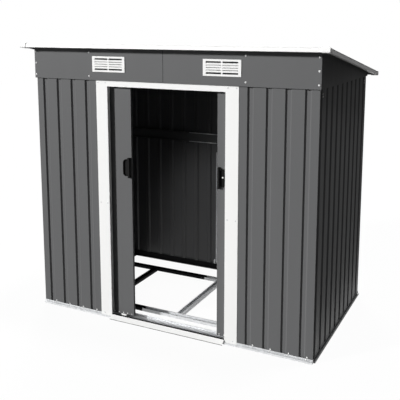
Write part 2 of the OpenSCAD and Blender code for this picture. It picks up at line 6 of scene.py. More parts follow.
import bpy
import numpy as np
from bpy.props import FloatProperty, FloatVectorProperty, IntProperty, PointerProperty
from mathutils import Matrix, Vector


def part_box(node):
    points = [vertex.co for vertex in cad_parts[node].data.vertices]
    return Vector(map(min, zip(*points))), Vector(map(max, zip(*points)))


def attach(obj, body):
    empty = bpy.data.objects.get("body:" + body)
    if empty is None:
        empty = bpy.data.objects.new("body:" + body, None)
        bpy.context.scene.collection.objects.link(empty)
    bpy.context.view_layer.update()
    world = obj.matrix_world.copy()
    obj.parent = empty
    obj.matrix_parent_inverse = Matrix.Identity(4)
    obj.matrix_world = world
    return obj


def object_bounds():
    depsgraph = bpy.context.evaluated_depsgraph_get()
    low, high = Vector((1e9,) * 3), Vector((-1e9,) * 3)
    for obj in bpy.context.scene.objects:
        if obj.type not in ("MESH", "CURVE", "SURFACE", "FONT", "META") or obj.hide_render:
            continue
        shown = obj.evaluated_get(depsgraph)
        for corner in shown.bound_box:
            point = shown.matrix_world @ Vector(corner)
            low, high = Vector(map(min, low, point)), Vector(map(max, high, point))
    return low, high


bl_info = {
    "name": "Metal storage shed",
    "version": (1, 0, 0),
    "blender": (4, 5, 0),
    "location": "View3D > Sidebar > Shed",
    "description": "Finishes, screws, hems and stage of a metal storage shed",
    "category": "Object",
}

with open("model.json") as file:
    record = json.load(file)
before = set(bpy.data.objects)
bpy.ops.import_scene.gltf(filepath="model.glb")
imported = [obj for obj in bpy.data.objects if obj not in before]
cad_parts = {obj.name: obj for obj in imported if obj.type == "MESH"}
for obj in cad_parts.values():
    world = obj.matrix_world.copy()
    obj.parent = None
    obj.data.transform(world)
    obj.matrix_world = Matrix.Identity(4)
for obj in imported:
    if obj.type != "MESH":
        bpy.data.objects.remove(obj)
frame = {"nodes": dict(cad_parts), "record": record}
CAD_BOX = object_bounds()
NODES = frame["nodes"]
SLOT_COLOURS = {row["slot"]: row["base_color"] for row in frame["record"]["materials"]}
NODE_SLOTS = {row["node"]: row["material_slot"] for row in frame["record"]["subparts"]}

FRONT = (0.0, -1.0, 0.0)
REAR = (0.0, 1.0, 0.0)
LEFT = (-1.0, 0.0, 0.0)
RIGHT = (1.0, 0.0, 0.0)
UP = (0.0, 0.0, 1.0)

# The least part of a unit vector along a direction, where it looks roughly or almost straight that way
ROUGHLY = 0.3
ALMOST = 0.9

# Which way the inner side of each wall sheet looks
WALL_BACKS = {"front_wall_left": REAR, "front_wall_right": REAR, "left_wall": RIGHT, "right_wall": LEFT,
              "rear_wall_left": FRONT, "rear_wall_right": FRONT}
# Nodes that carry another finish than their slot's
OWN_FINISHES = {"mid_rails": "grey_back"}

# Fineness of the round shapes
SCREW_SIDES = 12
DOME_RINGS = 3
BEAD_CORNERS = 7
ROUND_CORNERS = 6


# Values that a user can change

def colour_property(name, description, default):
    """A colour that a user can change."""
    return FloatVectorProperty(name=name, description=description, subtype="COLOR", size=3, min=0, max=1,
                               default=default)


def length_property(name, description, default):
    """A length in metres that a user can change."""
    return FloatProperty(name=name, description=description, unit="LENGTH", default=default)


def angle_property(name, description, degrees):
    """An angle that a user can change, given in degrees."""
    return FloatProperty(name=name, description=description, subtype="ANGLE", default=math.radians(degrees))


def place_property(name, description, default):
    """A place in metres that a user can change."""
    return FloatVectorProperty(name=name, description=description, subtype="TRANSLATION", size=3,
                               default=default)


def number_property(name, description, default):
    """A plain number that a user can change."""
    return FloatProperty(name=name, description=description, default=default)


def count_property(name, description, default):
    """A count that a user can change."""
    return IntProperty(name=name, description=description, default=default)


class ShedFinishes(bpy.types.PropertyGroup):
    """Colours of the shed's finishes."""

    grey_paint: colour_property("Grey paint", "Ribbed sheets, fascia and doors", SLOT_COLOURS["grey_paint"])
    white_paint: colour_property("White paint", "Jambs, header, ramp and trims", (0.9, 0.9, 0.89))
    zinc: colour_property("Zinc", "Galvanised rails, tracks and beams", (0.7, 0.71, 0.72))
    # Also painted shade and shadow: the rear base rail's inner faces and the ramp's top take this colour
    dark_steel: colour_property("Dark steel", "Faces that are painted dark", (0.009, 0.009, 0.01))
    white_plastic: colour_property("White plastic", "Vents, caps and glides", (0.9, 0.9, 0.89))
    black_plastic: colour_property("Black plastic", "Door handles", SLOT_COLOURS["black_plastic"])


class ShedScrews(bpy.types.PropertyGroup):
    """Sizes and places of the screws."""

    head_radius: length_property("Head radius", "Radius of a screw's head", 0.0042)
    head_height: length_property("Head height", "Height of a screw's dome", 0.0028)
    dome_turn: angle_property("Dome turn", "Part of a quarter turn that the dome rounds", 75.6)
    washer_radius: length_property("Washer radius", "Radius of the washer under a head", 0.0062)
    washer_height: length_property("Washer height", "Thickness of the washer", 0.0012)
    washer_top: number_property("Washer top", "Radius of the washer's top as a share of its foot", 0.94)
    groove_pitch: length_property("Groove pitch", "Distance between the grooves of the sheets", 0.116)
    fascia_rows: count_property("Fascia rows", "Screws over one another at a fascia's end", 3)
    fascia_end: length_property("Fascia end", "Distance of a fascia screw from the fascia's end", 0.012)
    fascia_inner: length_property("Fascia inner", "Distance of the inner screws from the middle", 0.5525)
    fascia_low: length_property("Fascia low", "Height of the lowest fascia screws over its edge", 0.024)
    fascia_rise: length_property("Fascia rise", "Height from one fascia screw to the next", 0.0775)
    base_scale: number_property("Base scale", "Size of a base screw against a fascia screw", 0.85)
    base_side: length_property("Base side", "Distance of a base screw from its groove's middle", 0.027)
    base_step: length_property("Base step", "How far the two screws of a pair stand apart", 0.013)
    base_height: length_property("Base height", "Height of the lower screw of a pair", 0.018)
    base_lip: length_property("Base lip", "Thickness of the rail's lip under the lower screws", 0.001)
    corner_back: length_property("Corner back", "Distance of a corner screw from the corner", 0.056)
    corner_down: length_property("Corner down", "Distance of a corner screw below the wall's top", 0.041)
    corner_step: length_property("Corner step", "Distance between two corner screws", 0.015)
    jamb_scale: number_property("Jamb scale", "Size of a jamb screw against a fascia screw", 0.75)
    jamb_edge: length_property("Jamb edge", "Distance of a jamb screw from the jamb's edges", 0.015)
    jamb_drop: length_property("Jamb drop", "Distance of the upper screws below the fascia", 0.013)
    jamb_foot: length_property("Jamb foot", "Distance of the lowest screw from the jamb's foot", 0.025)
    roof_count: count_property("Roof count", "Screws in a row across the roof", 8)
    roof_fall: angle_property("Roof fall", "Fall of the roof to the rear", 9)
    roof_edge: length_property("Roof edge", "Distance of the outer rows from the sheets' ends", 0.085)
    door_scale: number_property("Door scale", "Size of a door screw against a fascia screw", 0.6)
    door_count: count_property("Door count", "Small screws along a door's lower edge", 12)
    door_row: length_property("Door row", "Height of the small screws over a door's lower edge", 0.009)
    door_step: length_property("Door step", "Distance between the small screws of a door", 0.034)
    beam_count: count_property("Beam count", "Cross beams of the floor frame", 3)
    beam_half: length_property("Beam half", "Half the width of a floor beam", 0.023)
    beam_end: length_property("Beam end", "Distance of a screw from a cross beam's end", 0.014)
    beam_sheet: length_property("Beam sheet", "Thickness of a floor beam's sheet", 0.001)
    grip_scale: number_property("Grip scale", "Size of the handle's screw against a fascia screw", 0.9)
    grip_back: length_property("Grip back", "Distance of that screw from the handle's outer edge", 0.0195)
    grip_plate: length_property("Grip plate", "Thickness of the handle's plate", 0.004)
    grip_rise: length_property("Grip rise", "Height of that screw over the handle's middle", 0.003)


class ShedEdges(bpy.types.PropertyGroup):
    """Sizes of the joint line, the ramp's painted foot shadow, the strip's foot and the hems that stand in
    for glints.
    """

    joint_half: length_property("Joint half", "Half the width of the fascia's joint line", 0.0015)
    joint_proud: length_property("Joint proud", "How far the joint line stands off the fascia", 0.0004)
    joint_inset: length_property("Joint inset", "Distance of the line from the fascia's edges", 0.004)
    # Painted shadow: the grey bead at the ramp's foot stands in for the ramp's contact shadow on the floor
    ramp_edge: length_property("Ramp edge", "Thickness of the dark edge at the ramp's foot", 0.003)
    foot_width: length_property("Foot width", "Width of the bracket at the rear strip's foot", 0.015)
    foot_height: length_property("Foot height", "Height of that bracket", 0.034)
    foot_round: length_property("Foot round", "Radius of its round corner", 0.009)
    # Painted glint: the light zinc hems on the rear middle rail stand in for glints on its edges, and reach
    # only as far as those glints
    glint_hem_back: length_property("Hem back", "Depth of the rear middle rail", 0.016)
    glint_hem_proud: length_property("Hem proud", "Thickness of the bare hems on that rail", 0.001)
    glint_hem_height: length_property("Hem height", "Height of a hem", 0.005)
    glint_hem_reach: length_property("Hem reach", "Length of the hems to the left of the rear strip", 0.23)


class ShedCamera(bpy.types.PropertyGroup):
    """The camera of the main view."""

    place: place_property("Place", "Where the camera stands", (2.0, -4.093, 1.974))
    yaw: angle_property("Yaw", "Turn to the left of the rear wall's normal", 26.39)
    pitch: angle_property("Pitch", "Tilt below the horizon", 9.01)
    lens: number_property("Lens", "Focal length in millimetres", 58.8)
    shift: number_property("Shift", "Vertical shift as a share of the frame", -0.175)


class ShedLight(bpy.types.PropertyGroup):
    """The lamps and the surroundings."""

    key: number_property("Key", "Strength of the lamp at the front left", 4.05)
    key_turn: angle_property("Key turn", "Turn of that lamp from the front to the right", -42)
    key_rise: angle_property("Key rise", "Height of that lamp over the horizon", 18)
    key_width: angle_property("Key width", "Width of that lamp in the sky", 6)
    side: number_property("Side", "Strength of the lamp high at the right", 1.8)
    side_turn: angle_property("Side turn", "Turn of that lamp from the front to the right", 135)
    side_rise: angle_property("Side rise", "Height of that lamp over the horizon", 75)
    side_width: angle_property("Side width", "Width of that lamp in the sky", 10)
    back: number_property("Back", "Strength of the lamp behind the shed", 2.2)
    back_turn: angle_property("Back turn", "Turn of that lamp from the front to the right", -150)
    back_rise: angle_property("Back rise", "Height of that lamp over the horizon", 30)
    back_width: angle_property("Back width", "Width of that lamp in the sky", 20)
    inside: number_property("Inside", "Power of the lamp under the roof's front left", 24.0)
    inside_place: place_property("Inside place", "Where that lamp hangs", (-0.755, -0.438, 1.44))
    inside_target: place_property("Inside target", "Where that lamp points", (0.25, 0.35, 0.05))
    inside_cone: angle_property("Inside cone", "Width of that lamp's cone", 80)
    frame: number_property("Frame", "Power of the lamp over the floor frame", 30.0)
    frame_place: place_property("Frame place", "Where that lamp hangs", (-0.05, -0.1, 1.44))
    frame_target: place_property("Frame target", "Where that lamp points", (-0.05, -0.1, 0.0))
    frame_cone: angle_property("Frame cone", "Width of that lamp's cone", 42)
    room_softness: length_property("Room softness", "Radius of the lamps in the room", 0.1)
    room_blend: number_property("Room blend", "Share of those lamps' cones that fades out", 0.9)
    ambient: number_property("Ambient", "Strength of the light from all round", 0.03)
    floor_white: number_property("Floor white", "Share of white that the eye sees on the floor", 0.955)
    floor_grey: number_property("Floor grey", "Brightness with which the floor lights the shed", 0.12)
    floor_size: length_property("Floor size", "Half the width of the floor", 14.0)
    floor_drop: length_property("Floor drop", "How far the floor lies under the shed", 0.0005)
    card_grey: number_property("Card grey", "Brightness of the card that the right wall mirrors", 0.17)
    card_dark: number_property("Card dark", "Brightness of the card above the wall", 0.01)
    card_blend: length_property("Card blend", "Half the height over which it darkens", 0.1)
    card_gap: length_property("Card gap", "Distance of the card from the roof's right edge", 0.08)
    card_height: length_property("Card height", "Height of the card", 4.0)


# Node materials. A stretch says how fast a pattern runs along x, y and z, and a scale how fine it is.

CLOUD_STRETCH = (3.0, 3.0, 0.6)
WIPE_STRETCH = (40.0, 40.0, 2.0)
ROLL_STRETCH = (4.0, 160.0, 160.0)
NO_STRETCH = (1.0, 1.0, 1.0)
MARK_SLANT = (0.0, 0.0, math.radians(35))
CLOUD_SCALE = 2.0
PEEL_SCALE = 700.0
CRYSTAL_SCALE = 70.0
MARK_SCALE = 15.7
FLOW_SCALE = 18.0
GRAIN_SCALE = 1600.0
# How far wiping takes the roughness of paint down and up, and crystals that of zinc
WIPE_DOWN = 0.06
WIPE_UP = 0.08
CRYSTAL_DOWN = 0.06
CRYSTAL_UP = 0.1
# The part of a zinc tint that comes from crystals, and the rest from rolling streaks
CRYSTAL_SHARE = 0.5
# Shades of the rolling marks on a track
MARK_DARK = -0.55
MARK_LIGHT = 0.1


def start_material(name, colour, roughness, specular, metallic=0.0):
    """A material with a plain shader, and the object's own coordinates to hang patterns on."""
    material = bpy.data.materials.new(name)
    material.use_nodes = True
    tree = material.node_tree
    shader = tree.nodes["Principled BSDF"]
    shader.inputs["Base Color"].default_value = (*colour, 1.0)
    shader.inputs["Roughness"].default_value = roughness
    shader.inputs["Specular IOR Level"].default_value = specular
    shader.inputs["Metallic"].default_value = metallic
    coords = tree.nodes.new("ShaderNodeTexCoord")
    return material, tree, shader, coords.outputs["Object"]


def add_node(tree, kind, vector=None, **inputs):
    """A node with its named inputs set; vector is what drives its coordinates."""
    node = tree.nodes.new(kind)
    if vector is not None:
        tree.links.new(vector, node.inputs["Vector"])
    for name, value in inputs.items():
        node.inputs[name.replace("_", " ").title()].default_value = value
    return node


def stretched(tree, vector, scale, turn=(0.0, 0.0, 0.0)):
    """Coordinates turned and then stretched by a Mapping node."""
    mapping = add_node(tree, "ShaderNodeMapping", vector, scale=scale, rotation=turn)
    return mapping.outputs["Vector"]


def ranged(tree, value, low, high, low_in=0.0, high_in=1.0):
    """A value carried from one range to another."""
    node = add_node(tree, "ShaderNodeMapRange", from_min=low_in, from_max=high_in, to_min=low, to_max=high)
    tree.links.new(value, node.inputs["Value"])
    return node.outputs["Result"]


def tinted(tree, shader, factor, dark, light):
    """The shader's colour between a dark and a light tint."""
    mix = tree.nodes.new("ShaderNodeMix")
    mix.data_type = "RGBA"
    tree.links.new(factor, mix.inputs["Factor"])
    mix.inputs["A"].default_value = (*dark, 1.0)
    mix.inputs["B"].default_value = (*light, 1.0)
    tree.links.new(mix.outputs["Result"], shader.inputs["Base Color"])


def bumped(tree, shader, height, strength, distance):
    """Fine relief from a height pattern."""
    bump = add_node(tree, "ShaderNodeBump", strength=strength, distance=distance)
    tree.links.new(height, bump.inputs["Height"])
    tree.links.new(bump.outputs["Normal"], shader.inputs["Normal"])


def shaded(colour, share):
    """A colour made darker or lighter by a share of itself."""
    return tuple(min(1.0, part * (1.0 + share)) for part in colour)


def paint(name, colour, roughness, specular, tint):
    """Satin coil paint: faint clouds of tint, upright roller streaks and the peel of sprayed paint."""
    material, tree, shader, coords = start_material(name, colour, roughness, specular)
    cloud_coords = stretched(tree, coords, CLOUD_STRETCH)
    clouds = add_node(tree, "ShaderNodeTexNoise", cloud_coords, scale=CLOUD_SCALE, detail=3.0)
    tinted(tree, shader, clouds.outputs["Fac"], shaded(colour, -tint), shaded(colour, tint))
    wipe_coords = stretched(tree, coords, WIPE_STRETCH)
    wipe = add_node(tree, "ShaderNodeTexNoise", wipe_coords, scale=1.0, detail=2.0)
    gloss = ranged(tree, wipe.outputs["Fac"], roughness - WIPE_DOWN, roughness + WIPE_UP)
    tree.links.new(gloss, shader.inputs["Roughness"])
    peel = add_node(tree, "ShaderNodeTexNoise", coords, scale=PEEL_SCALE, detail=1.0)
    bumped(tree, shader, peel.outputs["Fac"], strength=0.15, distance=0.0004)
    return material


def galvanised(name, colour, roughness, specular, tint):
    """Galvanised steel: flat crystals of zinc in several greys, fine rolling streaks and patchy gloss."""
    material, tree, shader, coords = start_material(name, colour, roughness, specular, metallic=0.35)
    crystals = add_node(tree, "ShaderNodeTexVoronoi", coords, scale=CRYSTAL_SCALE)
    streaks = add_node(tree, "ShaderNodeTexNoise", stretched(tree, coords, ROLL_STRETCH), scale=1.0)
    blend = tree.nodes.new("ShaderNodeMath")
    blend.operation = "MULTIPLY_ADD"
    blend.inputs[1].default_value = CRYSTAL_SHARE
    tree.links.new(crystals.outputs["Color"], blend.inputs[0])
    tree.links.new(ranged(tree, streaks.outputs["Fac"], 0.0, 1.0 - CRYSTAL_SHARE), blend.inputs[2])
    tinted(tree, shader, blend.outputs["Value"], shaded(colour, -tint), shaded(colour, tint))
    gloss = ranged(tree, crystals.outputs["Distance"], roughness - CRYSTAL_DOWN, roughness + CRYSTAL_UP)
    tree.links.new(gloss, shader.inputs["Roughness"])
    return material


def hatched_zinc(name, colour, roughness, specular):
    """Galvanised track with straight, slanting rolling marks about 20 mm apart across its length."""
    material, tree, shader, coords = start_material(name, colour, roughness, specular, metallic=0.4)
    slant = stretched(tree, coords, NO_STRETCH, MARK_SLANT)
    marks = add_node(tree, "ShaderNodeTexWave", slant, scale=MARK_SCALE, distortion=0.3, detail=1.0)
    tinted(tree, shader, marks.outputs["Fac"], shaded(colour, MARK_DARK), shaded(colour, MARK_LIGHT))
    return material


def plastic(name, colour, roughness, specular, tint):
    """Moulded plastic: a fine spark-eroded grain and faint flow clouds."""
    material, tree, shader, coords = start_material(name, colour, roughness, specular)
    flow = add_node(tree, "ShaderNodeTexNoise", coords, scale=FLOW_SCALE, detail=2.0)
    tinted(tree, shader, flow.outputs["Fac"], shaded(colour, -tint), shaded(colour, tint))
    grain = add_node(tree, "ShaderNodeTexNoise", coords, scale=GRAIN_SCALE, detail=2.0)
    bumped(tree, shader, grain.outputs["Fac"], strength=0.25, distance=0.0003)
    return material


# Each finish with its maker, its colour in ShedFinishes and the maker's other values
RECIPES = {
    "grey_paint": (paint, "grey_paint", dict(roughness=0.45, specular=0.15, tint=0.035)),
    "grey_back": (paint, "grey_paint", dict(roughness=0.4, specular=0.38, tint=0.05)),
    "white_paint": (paint, "white_paint", dict(roughness=0.42, specular=0.35, tint=0.015)),
    "dark_steel": (paint, "dark_steel", dict(roughness=0.6, specular=0.08, tint=0.2)),
    "zinc": (galvanised, "zinc", dict(roughness=0.4, specular=0.5, tint=0.26)),
    "zinc_track": (hatched_zinc, "zinc", dict(roughness=0.45, specular=0.5)),
    "white_plastic": (plastic, "white_plastic", dict(roughness=0.4, specular=0.35, tint=0.012)),
    "black_plastic": (plastic, "black_plastic", dict(roughness=0.6, specular=0.08, tint=0.3)),
}


def finish(slot):
    """The material of a finish, made once."""
    name = "shed_" + slot
    found = bpy.data.materials.get(name)
    if found is not None:
        return found
    maker, colour, values = RECIPES[slot]
    return maker(name, getattr(bpy.context.scene.shed_finishes, colour), **values)


# Shapes worked out with arrays

def turned(radius, height, sides):
    """A closed shape turned about z: ring i has that radius and height, corner j stands at j equal turns.
    Quads join the rings, and one flat face closes each end."""
    angle = np.arange(sides) * (2.0 * np.pi / sides)
    ring = np.stack([np.cos(angle), np.sin(angle)], -1)
    flat = np.asarray(radius)[:, None, None] * ring
    level = np.broadcast_to(np.asarray(height)[:, None, None], (len(height), sides, 1))
    points = np.concatenate([flat, level], -1).reshape(-1, 3)
    row, column = np.meshgrid(np.arange(len(height) - 1), np.arange(sides), indexing="ij")
    after = (column + 1) % sides
    quads = np.stack([row * sides + column, row * sides + after, (row + 1) * sides + after,
                      (row + 1) * sides + column], -1).reshape(-1, 4)
    last = (len(height) - 1) * sides
    ends = np.stack([np.arange(sides)[::-1], last + np.arange(sides)])
    return points, quads, ends


def screw_shape(screws, scale=1.0):
    """A domed screw on its washer. The section runs up the washer's rim, in over its top and along the
    dome, where t goes from 0 to the dome's turn, the radius is the head's times cos t and the height over
    the washer is the dome's times sin t."""
    turn = np.linspace(0.0, screws.dome_turn, DOME_RINGS)
    radius = np.concatenate([[screws.washer_radius, screws.washer_radius * screws.washer_top],
                             screws.head_radius * np.cos(turn)])
    height = np.concatenate([[0.0, screws.washer_height],
                             screws.washer_height + screws.head_height * np.sin(turn)])
    return turned(radius * scale, height * scale, SCREW_SIDES)


def facing(normal):
    """Three unit axes as rows, of which the third is the given direction."""
    out = np.asarray(normal, float)
    out = out / np.linalg.norm(out)
    helper = np.asarray(UP if abs(out[2]) < ALMOST else REAR)
    across = np.cross(helper, out)
    across = across / np.linalg.norm(across)
    return np.stack([across, np.cross(out, across), out])


def copies(shape, places, normal):
    """The shape set at every place with its z axis along the normal: place + point times the axes."""
    points, quads, ends = shape
    places = np.asarray(places, float).reshape(-1, 3)
    every = places[:, None, :] + (points @ facing(normal))[None]
    start = (np.arange(len(places)) * len(points))[:, None, None]
    sides = (quads[None] + start).reshape(-1, quads.shape[1])
    closing = (ends[None] + start).reshape(-1, ends.shape[1])
    return every.reshape(-1, 3), sides.tolist() + closing.tolist()


def joined(parts):
    """Several point and face lists as one."""
    points, faces, start = [], [], 0
    for part_points, part_faces in parts:
        points.append(part_points)
        faces.extend([[corner + start for corner in face] for face in part_faces])
        start += len(part_points)
    return np.concatenate(points), faces


def bead(half, proud):
    """A half-round section on a face: corner j of n, at the turn t = pi j / (n - 1), stands proud sin t off
    the face and half cos t from the section's middle."""
    turn = np.linspace(0.0, np.pi, BEAD_CORNERS)
    return proud * np.sin(turn), half * np.cos(turn)


def carried(outline, axis, start, stop):
    """A closed bar: an outline in the two other axes, carried straight along an axis from start to stop.
    It runs counter-clockwise seen back from the stop. Quads join its ends, and a flat face closes each."""
    outline = np.stack(outline, -1)
    corner = np.arange(len(outline))
    points = np.concatenate([np.insert(outline, axis, level, axis=1) for level in (start, stop)])
    after = np.roll(corner, -1)
    far = corner + len(corner)
    quads = np.stack([corner, after, far[after], far], -1)
    return points, [*quads.tolist(), corner[::-1].tolist(), far.tolist()]


def grid(x, y, z):
    """Every place with one of those x, y and z values."""
    return np.stack(np.meshgrid(x, y, z, indexing="ij"), -1).reshape(-1, 3)


def both_ways(values):
    """Values on both sides of the middle."""
    return np.concatenate([-np.asarray(values)[::-1], values])


def make_piece(name, points, faces, slot, body, smooth=False):
    """A new mesh object at the origin, with its finish, that rides on a body of the frame."""
    mesh = bpy.data.meshes.new(name)
    mesh.from_pydata(points.tolist(), [], faces)
    mesh.validate()
    mesh.update()
    if smooth:
        mesh.shade_smooth()
    mesh.materials.append(finish(slot))
    piece = bpy.data.objects.new(name, mesh)
    bpy.context.scene.collection.objects.link(piece)
    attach(piece, body)
    return piece


def face_values(mesh, name):
    """The normal or the centre of every face of a mesh, as rows."""
    values = np.empty(3 * len(mesh.polygons), np.float32)
    mesh.polygons.foreach_get(name, values)
    return values.reshape(-1, 3)


def second_finish(mesh, slot, chosen):
    """Another finish on the chosen faces of a mesh."""
    mesh.materials.append(finish(slot))
    mesh.polygons.foreach_set("material_index", chosen.astype(np.int32))


def facing_to(mesh, direction, least=ROUGHLY):
    """The faces whose normal has at least that part along the direction."""
    return face_values(mesh, "normal") @ np.asarray(direction, np.float32) > least


# One step for each piece or group of like pieces

class SHED_OT_finishes(bpy.types.Operator):
    """Give every part of the frame its finish, and some faces a second one"""

    bl_idname = "shed.finishes"
    bl_label = "Finish the parts"

    def execute(self, context):
        for name, part in NODES.items():
            part.data.materials.clear()
            part.data.materials.append(finish(OWN_FINISHES.get(name, NODE_SLOTS[name])))
        for name, inward in WALL_BACKS.items():
            sheet = NODES[name].data
            second_finish(sheet, "grey_back", facing_to(sheet, inward))
        track = NODES["door_bottom_track"].data
        second_finish(track, "zinc_track", facing_to(track, UP))
        # Painted shade: the rear base rail's faces that look into the shed are near black, for the shed's
        # shade on them
        rail = NODES["rear_base_rail"].data
        second_finish(rail, "dark_steel", facing_to(rail, FRONT))
        # Painted shadow: the ramp's flat top is near black for the shadow in the gap between the ramp and
        # the track
        ramp = NODES["door_ramp"].data
        second_finish(ramp, "dark_steel", facing_to(ramp, UP, ALMOST))
        beams = NODES["floor_cross_beams"].data
        left_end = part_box("floor_beams_left")[1].x
        second_finish(beams, "dark_steel", face_values(beams, "center")[:, 0] < left_end)
        return {"FINISHED"}


class SHED_OT_fascia_screws(bpy.types.Operator):
    """Put white screws along the ends and the inner lines of the fascia"""

    bl_idname = "shed.fascia_screws"
    bl_label = "Fascia screws"

    def execute(self, context):
        screws = context.scene.shed_screws
        low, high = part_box("right_fascia")
        heights = low.z + screws.fascia_low + screws.fascia_rise * np.arange(screws.fascia_rows)
        ends = grid(both_ways([high.x - screws.fascia_end]), [low.y], heights)
        inner = grid(both_ways([screws.fascia_inner]), [low.y], heights[[0, -1]])
        points, faces = copies(screw_shape(screws), np.concatenate([ends, inner]), FRONT)
        make_piece("fascia_screws", points, faces, "white_plastic", "shed", smooth=True)
        return {"FINISHED"}


class SHED_OT_base_screws(bpy.types.Operator):
    """Put pairs of screws beside the grooves at the foot of the front and rear walls"""

    bl_idname = "shed.base_screws"
    bl_label = "Base screws"

    def execute(self, context):
        screws = context.scene.shed_screws
        pitch = screws.groove_pitch
        shape = screw_shape(screws, screws.base_scale)
        parts = []
        for name, normal, side in (("front_wall_left", FRONT, 1), ("front_wall_right", FRONT, 1),
                                   ("rear_wall_left", REAR, -1), ("rear_wall_right", REAR, -1)):
            low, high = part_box(name)
            first = math.ceil((low.x + pitch / 2) / pitch)
            last = math.floor((high.x - pitch / 2) / pitch)
            grooves = pitch * np.arange(first, last + 1) + side * screws.base_side
            face = low.y if normal is FRONT else high.y
            lower = grid(grooves, [face + normal[1] * screws.base_lip], [screws.base_height])
            upper = grid(grooves + side * screws.base_step / 2, [face],
                         [screws.base_height + screws.base_step])
            parts.append(copies(shape, np.concatenate([lower, upper]), normal))
        make_piece("base_screws", *joined(parts), "white_plastic", "shed", smooth=True)
        return {"FINISHED"}


class SHED_OT_corner_screws(bpy.types.Operator):
    """Put two screws under the top of each side wall, near its front and rear corners"""

    bl_idname = "shed.corner_screws"
    bl_label = "Corner screws"

    def execute(self, context):
        screws = context.scene.shed_screws
        parts = []
        for name, normal in (("left_wall", LEFT), ("right_wall", RIGHT)):
            low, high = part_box(name)
            along = [low.y + screws.corner_back, high.y - screws.corner_back]
            top = high.z - screws.corner_down
            places = grid([high.x if normal is RIGHT else low.x], along, [top, top - screws.corner_step])
            parts.append(copies(screw_shape(screws), places, normal))
        make_piece("corner_screws", *joined(parts), "white_plastic", "shed", smooth=True)
        return {"FINISHED"}


class SHED_OT_jamb_screws(bpy.types.Operator):
    """Put two screws at the head, two at half the height and one at the foot of each door jamb"""

    bl_idname = "shed.jamb_screws"
    bl_label = "Jamb screws"

    def execute(self, context):
        screws = context.scene.shed_screws
        low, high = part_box("right_door_jamb")
        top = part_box("right_fascia")[0].z - screws.jamb_drop
        across = both_ways([low.x + screws.jamb_edge, high.x - screws.jamb_edge])
        pairs = grid(across, [low.y], [top, (low.z + top) / 2])
        foot = (low.x + high.x) / 2 + screws.jamb_edge
        feet = grid(both_ways([foot]), [low.y], [low.z + screws.jamb_foot])
        shape = screw_shape(screws, screws.jamb_scale)
        points, faces = copies(shape, np.concatenate([pairs, feet]), FRONT)
        make_piece("jamb_screws", points, faces, "zinc", "shed", smooth=True)
        return {"FINISHED"}


class SHED_OT_roof_screws(bpy.types.Operator):
    """Put rows of screws on the flats of the roof sheets, over the fascia, the beam and the rear rail"""

    bl_idname = "shed.roof_screws"
    bl_label = "Roof screws"

    def execute(self, context):
        screws = context.scene.shed_screws
        low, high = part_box("roof_panel_middle")
        fall = screws.roof_fall
        down = np.array([0.0, math.cos(fall), -math.sin(fall)])
        out = np.array([0.0, math.sin(fall), math.cos(fall)])
        length = (high.y - low.y) / math.cos(fall)
        edge = np.array([0.0, low.y, high.z])
        rows = np.array([screws.roof_edge, length / 2, length - screws.roof_edge])
        # A screw on every second flat, whose middle is half a pitch beside a groove
        flats = 2 * np.arange(screws.roof_count) - screws.roof_count + 0.5
        across = screws.groove_pitch * flats
        places = edge + rows[:, None, None] * down + across[None, :, None] * np.asarray(RIGHT)
        points, faces = copies(screw_shape(screws), places.reshape(-1, 3), out)
        make_piece("roof_screws", points, faces, "grey_paint", "shed", smooth=True)
        return {"FINISHED"}


class SHED_OT_door_screws(bpy.types.Operator):
    """Put small white screws along the lower edge of each door"""

    bl_idname = "shed.door_screws"
    bl_label = "Door screws"

    def execute(self, context):
        screws = context.scene.shed_screws
        shape = screw_shape(screws, screws.door_scale)
        for body, side in (("left_door", -1), ("right_door", 1)):
            low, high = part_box(body)
            free_edge = high.x if side < 0 else low.x
            along = free_edge + side * screws.door_step * (np.arange(screws.door_count) + 0.5)
            places = grid(along, [low.y], [low.z + screws.door_row])
            points, faces = copies(shape, places, FRONT)
            make_piece(body + "_screws", points, faces, "white_plastic", body, smooth=True)
        return {"FINISHED"}


class SHED_OT_fascia_joint(bpy.types.Operator):
    """Draw the dark joint line between the two sheets of the fascia"""

    bl_idname = "shed.fascia_joint"
    bl_label = "Fascia joint"

    def execute(self, context):
        edges = context.scene.shed_edges
        low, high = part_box("left_fascia")
        out, across = bead(edges.joint_half, edges.joint_proud)
        outline = (-across, low.y - out)
        joint = carried(outline, 2, low.z + edges.joint_inset, high.z - edges.joint_inset)
        make_piece("fascia_joint", *joint, "dark_steel", "shed")
        return {"FINISHED"}


class SHED_OT_ramp_foot_shadow(bpy.types.Operator):
    """Roll a thin grey bead along the ramp's foot, as a painted shadow where the ramp meets the floor"""

    bl_idname = "shed.ramp_edge"
    bl_label = "Ramp edge"

    def execute(self, context):
        edges = context.scene.shed_edges
        # Painted shadow: this grey bead stands in for the contact shadow at the ramp's foot
        low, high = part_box("door_ramp")
        half = edges.ramp_edge / 2
        out, rise = bead(half, edges.ramp_edge)
        edge = carried((low.y - out, low.z + half + rise), 0, low.x, high.x)
        make_piece("ramp_edge", *edge, "grey_paint", "shed")
        return {"FINISHED"}


class SHED_OT_beam_screws(bpy.types.Operator):
    """Put screws where the cross beams of the floor frame meet its front and rear beams"""

    bl_idname = "shed.beam_screws"
    bl_label = "Beam screws"

    def execute(self, context):
        screws = context.scene.shed_screws
        low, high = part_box("floor_cross_beams")
        front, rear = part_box("floor_beams_left")
        across = np.linspace(low.x + screws.beam_half, high.x - screws.beam_half, screws.beam_count)
        along = [(front.y + low.y) / 2, low.y + screws.beam_end, high.y - screws.beam_end,
                 (rear.y + high.y) / 2]
        seat = grid(across, along, [low.z + screws.beam_sheet])
        points, faces = copies(screw_shape(screws), seat, UP)
        make_piece("beam_screws", points, faces, "white_plastic", "shed", smooth=True)
        return {"FINISHED"}


